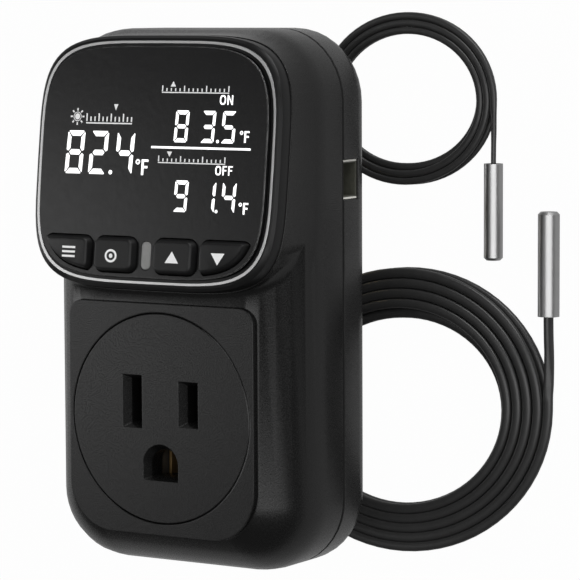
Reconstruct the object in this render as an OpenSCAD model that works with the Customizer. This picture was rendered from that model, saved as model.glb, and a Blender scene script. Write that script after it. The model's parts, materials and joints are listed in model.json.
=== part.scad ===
// Plug in temperature controller with two wound sensor leads.
// Millimetres. +Z is the front's outward direction, +Y the top of the front, +X its right.
// The controller lies on its back: z = 0 is the surface that the tip of the ground pin touches.

/* [Case] */
// Width of the case
case_w = 57.6; // [54:0.2:72]
// Length of the case, top to bottom
case_l = 102.65; // [98:0.05:130]
// Depth of the case from its back to the outlet face
case_d = 30; // [29:0.5:38]
// Depth of the rear cover, back to seam
cover_d = 10.6; // [10.6:0.1:13]
// Thickness of the walls
wall = 2; // [1.6:0.1:2.4]
// Radius of the case's corners, seen from the front
corner_r = 13.9; // [13.4:0.1:16]
// Radius of the long round edges of the front
front_edge_r = 13; // [9:0.1:13.2]
// Radius of the back's edge
back_edge_r = 5; // [3:0.1:5]
// How far the outlet panel stands proud of the front
panel_rise = 0.5; // [0.3:0.1:1]

/* [Display] */
// Width of the bezel
bezel_w = 55.2; // [52:0.2:55.6]
// Length of the bezel
bezel_l = 48; // [46:0.2:50]
// Tilt of the display towards the top
display_tilt = 6.7; // [3:0.1:9]
// Height of the display's middle over the outlet face
display_rise = 1; // [0.5:0.1:3]
// Distance from the top of the case to the display's middle
display_drop = 24.85; // [24.8:0.05:28]
// How far the lens stands over the trim ring
lens_rise = 1.2; // [0.8:0.1:1.6]
// Squareness of the display's outline, as the exponent of a superellipse
squareness = 4.4; // [3:0.1:6]

/* [Keys] */
// Width of the two inner keys
inner_key_w = 9.2; // [8:0.1:10]
// Width of the two outer keys before their corner is cut
outer_key_w = 10.9; // [9:0.1:11]
// Height of every key
key_l = 6.6; // [5.5:0.1:7]
// How far the keys stand over the lens
key_rise = 1.5; // [1:0.1:2]
// How far a key travels
key_travel = 0.5; // [0.3:0.05:0.6]

/* [Outlet and plug] */
// Radius of the round outlet insert
insert_r = 20; // [19:0.1:20.3]
// Distance between the two flat contacts, middle to middle
blade_pitch = 12.7; // [12.7]
// Distance from the flat contacts to the ground contact
ground_drop = 11.9; // [11.9]
// Length of the flat blades outside the case
blade_len = 17.5; // [15.9:0.1:18.3]
// Length of the ground pin outside the case
ground_len = 20.6; // [19:0.1:21]
// Radius of the ground pin
ground_r = 2.375; // [2.375]
// Thickness of the blades
blade_t = 1.5; // [1.4:0.05:1.65]
// Width of the line blade
line_w = 6.35; // [6.1:0.05:6.5]
// Width of the neutral blade
neutral_w = 7.9; // [7.8:0.05:8.1]

/* [Sensor leads] */
// Diameter of the short lead's cable
short_d = 1; // [0.9:0.05:1.2]
// Diameter of the long lead's cable
long_d = 1.43; // [1.3:0.01:1.6]
// Diameter of the short lead's probe
short_probe_d = 3.7; // [3:0.1:4.2]
// Diameter of the long lead's probe
long_probe_d = 4.2; // [3.6:0.1:5]
// Length of the short lead's probe
short_probe_l = 18.7; // [15:0.1:25]
// Length of the long lead's probe
long_probe_l = 20.1; // [15:0.1:25]

/* [Hidden] */

// One overrun serves all cuts
over = 1;
// Gap between pieces that are slid together
slip = 0.1;
// Steps of a quarter round on outlines, and of an edge
corner_steps = 10;
edge_steps = 7;
outline_points = 72;

z_back = ground_len;
z_floor = z_back + wall;
z_seam = z_back + cover_d;
z_face = z_back + case_d;
z_front = z_face - panel_rise;
y_top = case_l / 2;

// Places on the front, from the middle of the case
slots_up = 32.35;
y_slots = slots_up - y_top;
y_ground_hole = y_slots - ground_drop;
insert_drop = 2.98;
y_insert = y_slots - insert_drop;
y_display = y_top - display_drop;
z_display = z_face + display_rise;

// The plug on the back, and the sensor opening in the right side
y_blades = 12.85;
y_ground = y_blades - ground_drop;
y_port = 22.925;

// Outlines
function arc(r, a0, a1, steps) =
    [for (i = [0:steps]) let (a = a0 + (a1 - a0) * i / steps) [r * cos(a), r * sin(a)]];
function moved(points, x, y) = [for (p = points) [p.x + x, p.y + y]];
function round_rect(w, l, r, steps = corner_steps) = concat(
    moved(arc(r, 0, 90, steps), w / 2 - r, l / 2 - r),
    moved(arc(r, 90, 180, steps), r - w / 2, l / 2 - r),
    moved(arc(r, 180, 270, steps), r - w / 2, r - l / 2),
    moved(arc(r, 270, 360, steps), w / 2 - r, r - l / 2));
function power(x, e) = sign(x) * pow(abs(x), e);
function squircle(w, l) = [for (i = [0:outline_points - 1])
    let (a = 360 * i / outline_points)
    [w / 2 * power(cos(a), 2 / squareness), l / 2 * power(sin(a), 2 / squareness)]];

module plate(points, h) {
    linear_extrude(h) polygon(points);
}
module box(low, high) {
    translate(low) cube(high - low);
}
function inset_outline(inset) = round_rect(case_w - 2 * inset, case_l - 2 * inset, corner_r - inset);
module on_display(h = 0) {
    translate([0, y_display, z_display]) rotate([-display_tilt, 0, 0]) translate([0, 0, h]) children();
}
module mirrored_four(x, y) {
    for (sx = [-1, 1]) for (sy = [-1, 1]) translate([sx * x, sy * y, 0]) children();
}
// A slab with round corners whose upper edge is rounded
module round_slab(w, l, h, r, edge) {
    profile = concat([[0, 0], [r, 0]], [for (p = arc(edge, 0, 90, edge_steps)) [p.x + r - edge,
        p.y + h - edge]],
        [[0, h]]);
    hull() for (sx = [-1, 1]) for (sy = [-1, 1])
        translate([sx * (w / 2 - r), sy * (l / 2 - r), 0]) rotate_extrude($fn = 4 * corner_steps)
            polygon(profile);
}

// Case
screw_inset = 10.3;
screw_x = case_w / 2 - screw_inset;
screw_y = case_l / 2 - screw_inset;
screw_r = 1.2;
screw_head_r = 2.8;
screw_head_h = 2;
thread_bite = 0.05;
pilot_r = screw_r + thread_bite;
column_r = 4.4;
boss_r = 3.6;
head_room = 0.3;
screw_head_up = 4.4;
screw_seat = 4;
z_screw_head = z_back + screw_head_up;
z_column_top = z_screw_head + screw_seat;
screw_len = 12;
lower_boss_depth = 3.2;
upper_boss_h = 11;
lower_boss_top = z_front - lower_boss_depth;
upper_boss_top = z_column_top + upper_boss_h;
rib_t = 2;
rib_l = 7.9;

// The display block grows out of the case and ends under the bezel
block_drop = 24;
block_base_h = 3;
block_base_inset = 0.25;
block_inset = 0.2;
bezel_h = 3.25;
bezel_edge_r = 1.4;
edge_rings = 3;
rim_h = 0.25;
bezel_bottom = rim_h - bezel_h;
seat_w = 1.6;
block_clear = 6;
skirt_gap = 0.1;
skirt_t = 0.8;
skirt_l = 2.8;
block_w = bezel_w + 2 * block_inset;
block_l = bezel_l + 2 * block_inset;
block_base_l = display_drop + block_drop;

// The outlet panel on the lower front
panel_w = 41.7;
panel_top = -0.175;
panel_bottom_gap = 7;
panel_top_r = 3;
panel_bottom_r = 9.5;
panel_base = 4;
panel_l = panel_top + y_top - panel_bottom_gap;
insert_gap = 0.12;
insert_t = 5;
insert_edge = 0.2;
ledge_t = 1.5;
ledge_w = 1.4;
ledge_outer = 2;

module panel_outline() {
    bottom = panel_top - panel_l;
    polygon(concat(
        moved(arc(panel_top_r, 0, 90, corner_steps), panel_w / 2 - panel_top_r, panel_top - panel_top_r),
        moved(arc(panel_top_r, 90, 180, corner_steps), panel_top_r - panel_w / 2, panel_top - panel_top_r),
        moved(arc(panel_bottom_r, 180, 270, corner_steps), panel_bottom_r - panel_w / 2,
        bottom + panel_bottom_r),
        moved(arc(panel_bottom_r, 270, 360, corner_steps), panel_w / 2 - panel_bottom_r,
        bottom + panel_bottom_r)));
}
module block_shape(inset, h_top) {
    base_inset = inset + block_base_inset;
    base_w = case_w - 2 * base_inset;
    base_l = block_base_l - 2 * base_inset;
    hull() {
        translate([0, y_top - block_base_l / 2, z_seam])
            plate(round_rect(base_w, base_l, corner_r - base_inset), block_base_h);
        on_display(h_top - slip) plate(squircle(block_w - 2 * inset, block_l - 2 * inset), slip);
    }
}
// The block flows into the front below it through a hollow curve
cove_foot = [2.2, 1.5];
cove_limit = 28.6;
cove_limit_share = 0.8;
cove_height_share = 0.9;
cove_sink = 0.2;
cove_steps = 4;
function z_front_at(x) = z_front - front_edge_r
    + sqrt(pow(front_edge_r, 2) - pow(max(0, abs(x) - case_w / 2 + front_edge_r), 2));
function cove_section(a) =
    let (c = cos(a), s = sin(a), x = block_w / 2 * power(c, 2 / squareness),
        t = block_l / 2 * power(s, 2 / squareness),
        y = y_display + t * cos(display_tilt) + bezel_bottom * sin(display_tilt),
        z_top = z_display - t * sin(display_tilt) + bezel_bottom * cos(display_tilt),
        n = unit([power(c, 2 - 2 / squareness) / block_w, power(s, 2 - 2 / squareness) / block_l]),
        reach = min(cove_foot[0] + cove_foot[1] * abs(n.x),
            cove_limit_share * (cove_limit - abs(x)) / max(abs(n.x), slip)),
        rise = min(reach, cove_height_share * (z_top - z_front_at(x))),
        wall_at = [x, y, z_front_at(x) + rise] - cove_sink * [n.x, n.y, 0],
        corner = [x - cove_sink * n.x, y - cove_sink * n.y, z_front_at(x) - cove_sink],
        foot = [x + reach * n.x, y + reach * n.y, z_front_at(x + reach * n.x) - cove_sink])
    concat([for (i = [0:cove_steps]) let (u = i / cove_steps)
        pow(1 - u, 2) * wall_at + 2 * u * (1 - u) * corner + u * u * foot],
        [foot - [0, 0, over], [x, y, z_front_at(x) - over] - over * [n.x, n.y, 0],
            wall_at - over * [n.x, n.y, 0]]);
module cove() {
    step = 360 / outline_points;
    count = outline_points / 2 - 2;
    sections = [for (i = [0:count]) cove_section(180 + step * (i + 1))];
    n = len(sections[0]);
    quads = [for (i = [0:count - 1]) for (k = [0:n - 1]) let (a = i * n + k, b = i * n + (k + 1) % n)
        each [[a, a + n, b], [b, a + n, b + n]]];
    ends = [for (k = [1:n - 2]) each [[0, k, k + 1], [count * n, count * n + k + 1, count * n + k]]];
    polyhedron([for (section = sections) each section], concat(quads, ends));
}
module front_shell() {
    inner_edge = front_edge_r - wall;
    opening_w = bezel_w - 2 * seat_w;
    opening_l = bezel_l - 2 * seat_w;
    color([0.07, 0.07, 0.075]) difference() {
        union() {
            difference() {
                union() {
                    difference() {
                        translate([0, 0, z_seam])
                            round_slab(case_w, case_l, z_front - z_seam, corner_r, front_edge_r);
                        on_display(bezel_bottom - over)
                            plate(squircle(block_w - 2 * over, block_l - 2 * over), block_clear);
                    }
                    block_shape(0, bezel_bottom);
                }
                translate([0, 0, z_seam - slip])
                    round_slab(case_w - 2 * wall, case_l - 2 * wall, z_front - wall - z_seam + slip,
                        corner_r - wall, inner_edge);
                translate([0, 0, -slip]) block_shape(wall, bezel_bottom - wall);
                on_display(bezel_bottom - wall - over) plate(squircle(opening_w, opening_l), wall + 2 * over);
                translate([0, 0, z_seam - over]) plate(inset_outline(wall - lip_t), lip_h + slip + over);
            }
            cove();
            translate([0, 0, z_face - panel_base]) linear_extrude(panel_base) panel_outline();
            translate([0, y_insert, z_face - insert_t - ledge_t])
                cylinder(r = insert_r + ledge_outer, h = ledge_t + insert_t - panel_rise - wall, $fn = 96);
            for (sx = [-1, 1]) {
                translate([sx * screw_x, -screw_y, z_column_top])
                    cylinder(r = boss_r, h = lower_boss_top - z_column_top, $fn = 48);
                translate([sx * screw_x, screw_y, z_column_top])
                    cylinder(r = boss_r, h = upper_boss_top - z_column_top, $fn = 48);
                translate([sx * screw_x, screw_y, z_seam + wall]) rotate([0, 0, 90 - sx * 45])
                    box([0, -rib_t / 2, 0], [rib_l, rib_t / 2, upper_boss_top - z_seam - wall]);
            }
        }
        translate([0, y_insert, z_face - insert_t])
            cylinder(r = insert_r + insert_gap, h = insert_t + over, $fn = 96);
        translate([0, y_insert, z_face - insert_t - ledge_t - over])
            cylinder(r = insert_r - ledge_w, h = insert_t, $fn = 96);
        for (sx = [-1, 1]) for (sy = [-1, 1])
            translate([sx * screw_x, sy * screw_y, z_column_top - over])
                cylinder(r = pilot_r, h = screw_len, $fn = 32);
    }
}

// Rear cover
lip_h = 1.4;
lip_t = 0.9;
lip_gap = 0.12;
reveal_h = 0.35;
reveal_t = 0.4;
blade_slot_gap = 0.1;
plug_boss_w = 27;
plug_boss_l = 25;
plug_boss_r = 3;
plug_boss_h = 1.2;
plug_boss_drop = 5.2;
plug_boss_y = y_blades - plug_boss_drop;
shoulder_h = 1;
shoulder_over = 1.2;
sheet_t = 0.3;
board_t = 1.6;
z_boss_top = z_floor + plug_boss_h;
z_sheet = z_boss_top;
z_board = z_sheet + sheet_t;
z_board_top = z_board + board_t;
standoff_r = 2.5;
standoff_x = 22.5;
standoff_y = 30;
board_screw_r = 0.95;
board_screw_l = 4.4;
board_head_r = 1.9;
board_head_h = 1.2;
header_w = 7.4;
header_l = 9;
header_wall = 0.6;
header_floor = 0.5;
header_gap = 0.15;
header_top_gap = 0.2;
z_header_top = z_seam - header_top_gap;

module blade_outline(w, gap = 0) {
    square([blade_t + 2 * gap, w + 2 * gap], center = true);
}
module rear_cover() {
    shoulder_l = neutral_w + 2 * shoulder_over;
    shoulder_w = blade_t + 2 * shoulder_over;
    color([0.07, 0.07, 0.075]) difference() {
        union() {
            difference() {
                union() {
                    translate([0, 0, z_seam - reveal_h]) mirror([0, 0, 1])
                        round_slab(case_w, case_l, cover_d - reveal_h, corner_r, back_edge_r);
                    translate([0, 0, z_seam - over]) plate(inset_outline(reveal_t), over);
                    translate([0, 0, z_seam - over])
                        plate(inset_outline(wall - lip_t + lip_gap), lip_h + over);
                }
                translate([0, 0, z_seam + lip_h + slip]) mirror([0, 0, 1])
                    round_slab(case_w - 2 * wall, case_l - 2 * wall, cover_d + lip_h - wall + slip,
                        corner_r - wall, back_edge_r - wall);
            }
            mirrored_four(screw_x, screw_y) translate([0, 0, z_floor - slip])
                cylinder(r = column_r, h = z_column_top - z_floor + slip, $fn = 48);
            translate([0, plug_boss_y, z_floor - slip])
                plate(round_rect(plug_boss_w, plug_boss_l, plug_boss_r), plug_boss_h + slip);
            mirrored_four(standoff_x, standoff_y) translate([0, 0, z_floor - slip])
                cylinder(r = standoff_r, h = z_board - z_floor + slip, $fn = 32);
        }
        mirrored_four(screw_x, screw_y) {
            translate([0, 0, z_back - over])
                cylinder(r = screw_head_r + head_room, h = z_screw_head - z_back + over,
                $fn = 48);
            translate([0, 0, z_back]) cylinder(r = screw_r + head_room, h = z_column_top, $fn = 32);
        }
        mirrored_four(standoff_x, standoff_y) translate([0, 0, z_floor])
            cylinder(r = board_screw_r + slip / 2, h = z_board,
            $fn = 32);
        for (s = [[-1, neutral_w], [1, line_w]]) translate([s[0] * blade_pitch / 2, y_blades, 0]) {
            translate([0, 0, z_back - over]) linear_extrude(cover_d) blade_outline(s[1], blade_slot_gap);
            translate([0, 0, z_boss_top - shoulder_h - slip])
                linear_extrude(cover_d) square([shoulder_w + 2 * slip, shoulder_l + 2 * slip], center = true);
        }
        translate([0, y_ground, z_back - over])
            cylinder(r = ground_r + blade_slot_gap, h = cover_d, $fn = 64);
        translate([0, y_ground, z_boss_top - shoulder_h - slip])
            cylinder(r = ground_r + shoulder_over + slip, h = cover_d, $fn = 64);
        box([case_w / 2 - wall - over, y_port - header_w / 2 - header_gap, z_board_top - header_gap],
            [case_w / 2 + over, y_port + header_w / 2 + header_gap, z_seam + lip_h + over]);
    }
}
module case_screws() {
    color("silver") mirrored_four(screw_x, screw_y) {
        translate([0, 0, z_screw_head - screw_head_h]) cylinder(r = screw_head_r, h = screw_head_h, $fn = 48);
        translate([0, 0, z_screw_head - slip]) cylinder(r = screw_r, h = screw_len + slip, $fn = 32);
    }
}

// Display
ring_inset = 1.44;
ring_t = 0.5;
ring_h = 0.9;
ring_rise = 0.35;
ring_gap = 0.05;
lens_inset = 2.34;
lens_gap = 0.12;
lens_seat = -0.6;
plate_t = 0.8;
window_w = 43.6;
window_top = 18;
window_bottom = -12.4;
key_t = -17.5;
inner_key_x = 6.7;
outer_key_x = 17.75;
outer_switch_x = 16.9;
switch_t = -17.3;
key_corner_r = 1.6;
key_cut_w = 48;
key_cut_l = 41.8;
key_gap = 0.2;
key_flange = 0.35;
key_flange_h = 0.8;
key_flange_gap = 0.1;
key_draft = 0.75;
key_draft_share = [0.3, 0.55, 1];
key_round_h = 0.3;
small_steps = 4;
end_steps = 6;
pipe_w = 2.1;
pipe_l = 5.2;
pipe_gap = 0.1;
post_x = 23.3;
post_r = 1.5;
post_ys = [5, -9.5];
display_screw_r = 0.7;
display_screw_l = 3;
display_head_r = 1.25;
display_head_h = 0.7;
board_h = -8;
switch_size = 4.4;
switch_room = 0.3;
switch_h = 2;
plunger_r = 1;
plunger_gap = 0.15;
plunger_sink = 0.8;
z_key_bottom = lens_seat - plate_t - key_flange_gap - key_flange_h;
stem_l = 0.7;
z_stem = z_key_bottom - stem_l;

// kind is -2, -1, 1 or 2: outer left, inner left, inner right, outer right
function key_x(kind) = sign(kind) * (abs(kind) == 2 ? outer_key_x : inner_key_x);
function switch_x(kind) = sign(kind) * (abs(kind) == 2 ? outer_switch_x : inner_key_x);
module key_outline(kind, grow = 0) {
    if (abs(kind) == 2)
        intersection() {
            translate([key_x(kind), key_t])
                polygon(round_rect(outer_key_w + 2 * grow, key_l + 2 * grow, key_corner_r + grow,
                    small_steps));
            polygon(squircle(key_cut_w + 2 * grow, key_cut_l + 2 * grow));
        }
    else
        translate([key_x(kind), key_t])
            polygon(round_rect(inner_key_w + 2 * grow, key_l + 2 * grow, key_corner_r + grow, small_steps));
}
module key(kind) {
    top = lens_rise + key_rise;
    color([0.08, 0.08, 0.085]) on_display() {
        hull() {
            translate([0, 0, lens_rise]) linear_extrude(slip) key_outline(kind);
            translate([0, 0, top - key_rise * key_draft_share[1]])
                linear_extrude(slip) key_outline(kind, -key_draft * key_draft_share[0]);
            translate([0, 0, top - key_round_h]) linear_extrude(slip)
                key_outline(kind, -key_draft * key_draft_share[1]);
            translate([0, 0, top - slip]) linear_extrude(slip)
                key_outline(kind, -key_draft * key_draft_share[2]);
        }
        translate([0, 0, z_key_bottom]) linear_extrude(lens_rise - z_key_bottom + slip) key_outline(kind);
        translate([0, 0, z_key_bottom]) linear_extrude(key_flange_h) key_outline(kind, key_flange);
        translate([switch_x(kind), switch_t, z_stem]) cylinder(r = plunger_r, h = stem_l + slip, $fn = 32);
    }
}
module plunger(kind) {
    bottom = board_h + board_t + switch_h - plunger_sink;
    color("silver") on_display(bottom) translate([switch_x(kind), switch_t, 0])
        cylinder(r = plunger_r, h = z_stem - bottom, $fn = 32);
}
module set_key() { key(-2); }
module function_key() { key(-1); }
module up_key() { key(1); }
module down_key() { key(2); }
module set_plunger() { plunger(-2); }
module function_plunger() { plunger(-1); }
module up_plunger() { plunger(1); }
module down_plunger() { plunger(2); }
module switch_bases() {
    well = plunger_sink + key_travel + switch_room;
    color("dimgray") on_display(board_h + board_t) for (kind = [-2, -1, 1, 2])
        translate([switch_x(kind), switch_t, 0]) difference() {
            translate([-switch_size / 2, -switch_size / 2, 0]) cube([switch_size, switch_size, switch_h]);
            translate([0, 0, switch_h - well])
                cylinder(r = plunger_r + plunger_gap, h = well + over, $fn = 32);
        }
}
module display_bezel() {
    pocket_w = bezel_w - 2 * lens_inset + 2 * lens_gap;
    pocket_l = bezel_l - 2 * lens_inset + 2 * lens_gap;
    skirt_w = bezel_w - 2 * seat_w - 2 * skirt_gap;
    skirt_y = bezel_l - 2 * seat_w - 2 * skirt_gap;
    plate_bottom = lens_seat - plate_t;
    color([0.05, 0.05, 0.055]) on_display() difference() {
        union() {
            hull() {
                translate([0, 0, bezel_bottom]) plate(squircle(bezel_w, bezel_l), slip);
                for (p = arc(bezel_edge_r, 0, 90, edge_rings))
                    translate([0, 0, rim_h - bezel_edge_r + p.y - slip])
                        plate(squircle(bezel_w - 2 * (bezel_edge_r - p.x),
                            bezel_l - 2 * (bezel_edge_r - p.x)), slip);
            }
            difference() {
                translate([0, 0, bezel_bottom - skirt_l]) plate(squircle(skirt_w, skirt_y), skirt_l + slip);
                translate([0, 0, bezel_bottom - skirt_l - over])
                    plate(squircle(skirt_w - 2 * skirt_t, skirt_y - 2 * skirt_t), skirt_l + 2 * over);
            }
            for (sx = [-1, 1]) for (y = post_ys)
                translate([sx * post_x, y, board_h + board_t])
                    cylinder(r = post_r, h = plate_bottom - board_h - board_t + slip, $fn = 32);
        }
        difference() {
            translate([0, 0, bezel_bottom - slip])
                plate(squircle(skirt_w - 2 * skirt_t, skirt_y - 2 * skirt_t),
                    plate_bottom - bezel_bottom + slip);
            for (sx = [-1, 1]) for (y = post_ys)
                translate([sx * post_x, y, bezel_bottom - over]) cylinder(r = post_r, h = bezel_h, $fn = 32);
        }
        translate([0, 0, lens_seat]) plate(squircle(pocket_w, pocket_l), bezel_h);
        translate([0, 0, ring_rise - ring_h]) difference() {
            plate(squircle(bezel_w - 2 * ring_inset + ring_t + 2 * ring_gap,
                bezel_l - 2 * ring_inset + ring_t + 2 * ring_gap), bezel_h);
            translate([0, 0, -over]) plate(squircle(bezel_w - 2 * ring_inset - ring_t - 2 * ring_gap,
                bezel_l - 2 * ring_inset - ring_t - 2 * ring_gap), bezel_h + 2 * over);
        }
        box([-window_w / 2, window_bottom, plate_bottom - over], [window_w / 2, window_top, over]);
        for (kind = [-2, -1, 1, 2])
            translate([0, 0, plate_bottom - over]) linear_extrude(plate_t + 2 * over)
                key_outline(kind, key_gap);
        translate([0, key_t, plate_bottom - over])
            plate(round_rect(pipe_w + 2 * pipe_gap, pipe_l + 2 * pipe_gap, pipe_w / 2, end_steps),
                plate_t + 2 * over);
        for (sx = [-1, 1]) for (y = post_ys)
            translate([sx * post_x, y, board_h])
                cylinder(r = display_screw_r + slip / 2, h = display_screw_l + board_t,
                $fn = 24);
    }
}
module trim_ring() {
    mid_w = bezel_w - 2 * ring_inset;
    mid_l = bezel_l - 2 * ring_inset;
    color("silver") on_display(ring_rise - ring_h) difference() {
        plate(squircle(mid_w + ring_t, mid_l + ring_t), ring_h);
        translate([0, 0, -over]) plate(squircle(mid_w - ring_t, mid_l - ring_t), ring_h + 2 * over);
    }
}
module display_lens() {
    color([0.13, 0.13, 0.135]) on_display(lens_seat) difference() {
        plate(squircle(bezel_w - 2 * lens_inset, bezel_l - 2 * lens_inset), lens_rise - lens_seat);
        translate([0, 0, -over]) for (kind = [-2, -1, 1, 2])
            linear_extrude(lens_rise - lens_seat + 2 * over) key_outline(kind, key_gap);
        translate([0, key_t, -over])
            plate(round_rect(pipe_w + 2 * pipe_gap, pipe_l + 2 * pipe_gap, pipe_w / 2, end_steps),
                lens_rise - lens_seat + 2 * over);
    }
}
led_size = 1.6;
led_h = 0.8;
led_gap = 0.2;
module light_pipe() {
    foot = board_h + board_t + led_h + led_gap;
    color([0.75, 0.75, 0.72]) on_display() {
        translate([0, key_t, foot]) plate(round_rect(pipe_w, pipe_l, pipe_w / 2 - slip, end_steps),
            lens_rise - foot);
        translate([0, key_t, z_key_bottom])
            plate(round_rect(pipe_w + 2 * slip, pipe_l + 2 * key_flange, pipe_w / 2, end_steps),
                key_flange_h);
    }
}
module status_led() {
    color("white") on_display(board_h + board_t) translate([0, key_t, 0])
        box([-led_size / 2, -led_size, 0], [led_size / 2, led_size, led_h]);
}
panel_gap = 0.1;
panel_t = 2.8;
frame_wall = 1.2;
module display_panel() {
    color([0.1, 0.12, 0.12]) on_display(lens_seat - panel_gap - panel_t)
        box([-window_w / 2 + panel_gap, window_bottom + panel_gap, 0],
            [window_w / 2 - panel_gap, window_top - panel_gap, panel_t]);
}
module display_frame() {
    low = board_h + board_t;
    top = lens_seat - panel_gap - panel_t;
    frame_w = 2 * (post_x - post_r - panel_gap);
    color("white") on_display(low) difference() {
        box([-frame_w / 2, window_bottom, 0], [frame_w / 2, window_top, top - low]);
        box([-frame_w / 2 + frame_wall, window_bottom + frame_wall, frame_wall],
            [frame_w / 2 - frame_wall, window_top - frame_wall, top - low + over]);
    }
}
board_edge = 0.6;
board_end = 0.8;
module display_board() {
    board_w = bezel_w - 2 * (seat_w + board_edge);
    board_l = bezel_l - 2 * (seat_w + board_edge + board_end);
    color([0.05, 0.3, 0.12]) on_display(board_h) difference() {
        plate(squircle(board_w, board_l), board_t);
        for (sx = [-1, 1]) for (y = post_ys) translate([sx * post_x, y, -over])
            cylinder(r = display_screw_r + slip, h = board_t + 2 * over, $fn = 24);
    }
}
module display_screws() {
    color("silver") on_display(board_h) for (sx = [-1, 1]) for (y = post_ys) translate([sx * post_x, y, 0]) {
        translate([0, 0, -display_head_h]) cylinder(r = display_head_r, h = display_head_h, $fn = 32);
        translate([0, 0, -slip]) cylinder(r = display_screw_r, h = board_t + display_screw_l - over,
            $fn = 24);
    }
}
chip_size = 7;
chip_t = 1.2;
chip_x = -9;
chip_y = 2;
module controller_chip() {
    color([0.1, 0.1, 0.1]) on_display(board_h - chip_t)
        translate([chip_x - chip_size / 2, chip_y - chip_size / 2, 0])
        cube([chip_size, chip_size, chip_t]);
}

// Boards and what stands on the main board
main_w = 50;
main_l = 92;
main_corner_r = 8;
notch_r = column_r + 0.6;
tail_w = 3;
tail_t = 0.8;
tail_gap = 0.15;
tail_over = 1;
cable_w = 8;
cable_t = 0.8;
cable_x = 2;
cable_y = 42.2;
cable_lean = 2;
cable_rise = 6;
cable_drop = 3;
module main_board() {
    color([0.05, 0.3, 0.12]) difference() {
        translate([0, 0, z_board]) plate(round_rect(main_w, main_l, main_corner_r), board_t);
        mirrored_four(screw_x, screw_y) translate([0, 0, z_board - over])
            cylinder(r = notch_r, h = board_t + 2 * over,
            $fn = 48);
        mirrored_four(standoff_x, standoff_y) translate([0, 0, z_board - over])
            cylinder(r = board_screw_r + slip, h = board_t + 2 * over, $fn = 32);
        tail_holes(tail_gap);
    }
}
module tail_holes(gap) {
    for (y = [y_blades, y_slots]) for (sx = [-1, 1])
        translate([sx * blade_pitch / 2, y, z_board - over]) linear_extrude(board_t + 2 * over)
            square([tail_t + 2 * gap, tail_w + 2 * gap], center = true);
    for (y = [y_ground, y_ground_hole])
        translate([0, y, z_board - over]) linear_extrude(board_t + 2 * over)
            square([tail_t + 2 * gap, tail_w + 2 * gap], center = true);
}
module board_screws() {
    color("silver") mirrored_four(standoff_x, standoff_y) {
        translate([0, 0, z_board_top]) cylinder(r = board_head_r, h = board_head_h, $fn = 32);
        translate([0, 0, z_board_top - board_screw_l + board_t - slip])
            cylinder(r = board_screw_r, h = board_screw_l - board_t + 2 * slip, $fn = 32);
    }
}
// Parts on the board: lowest corner in plan and size
relay_at = [-22, 12];
relay_size = [14, 15.2, 15];
relay_corner_r = 0.6;
transformer_at = [-3.5, 21];
transformer_size = [13, 12.5, 10.5];
filter_at = [11.5, 8];
filter_size = [6, 8.5, 10];
supply_at = [14, 33.5];
supply_r = 3.9;
supply_h = 11;
crimp_h = 1.9;
crimp_half = 0.5;
crimp_depth = 0.35;
fuse_at = [-16, 3.5];
fuse_r = 2.4;
fuse_h = 7;
varistor_at = [18, 0];
varistor_r = 4;
varistor_t = 3;
varistor_up = 1;
varistor_lead_r = 0.4;
module on_board(at, h = 0) {
    translate([at.x, at.y, z_board_top + h]) children();
}
module relay() {
    color([0.1, 0.25, 0.6]) on_board(relay_at) plate(moved(round_rect(relay_size.x, relay_size.y,
        relay_corner_r), relay_size.x / 2, relay_size.y / 2), relay_size.z);
}
module transformer() {
    core = 3;
    color([0.85, 0.7, 0.2]) on_board(transformer_at) {
        box([0, 0, 0], [transformer_size.x, transformer_size.y, core]);
        box([core / 2, core, core - slip],
            [transformer_size.x - core / 2, transformer_size.y - core, transformer_size.z - core + slip]);
        box([0, 0, transformer_size.z - core], transformer_size);
    }
}
module supply_capacitor() {
    color([0.12, 0.12, 0.25]) on_board(supply_at) rotate_extrude($fn = 64) polygon([[0, 0], [supply_r, 0],
        [supply_r, crimp_h - crimp_half], [supply_r - crimp_depth, crimp_h], [supply_r, crimp_h + crimp_half],
        [supply_r, supply_h - crimp_depth], [supply_r - crimp_depth, supply_h], [0, supply_h]]);
}
module filter_capacitor() {
    color([0.85, 0.7, 0.1]) on_board(filter_at) cube(filter_size);
}
module fuse() {
    color([0.3, 0.15, 0.1]) on_board(fuse_at) cylinder(r = fuse_r, h = fuse_h, $fn = 48);
}
module varistor() {
    color([0.1, 0.2, 0.6]) on_board(varistor_at) {
        translate([0, 0, varistor_r + varistor_up]) rotate([90, 0, 0])
            cylinder(r = varistor_r, h = varistor_t, center = true, $fn = 48);
        for (sx = [-1, 1]) translate([sx * varistor_r / 2, 0, 0])
            cylinder(r = varistor_lead_r, h = varistor_r, $fn = 16);
    }
}
module display_cable() {
    near = cable_y - cable_lean;
    low = z_board_top;
    high = z_display - (near - y_display) * tan(display_tilt) + board_h / cos(display_tilt) - slip;
    color("lightgray") translate([cable_x, 0, 0]) rotate([90, 0, 90]) linear_extrude(cable_w) polygon([
        [cable_y, low], [cable_y + cable_t, low], [cable_y + cable_t, low + cable_rise + slip],
        [near, high - cable_drop], [near, high], [near - cable_t, high],
        [near - cable_t, high - cable_drop - slip], [cable_y, low + cable_rise - slip]]);
}

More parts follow.
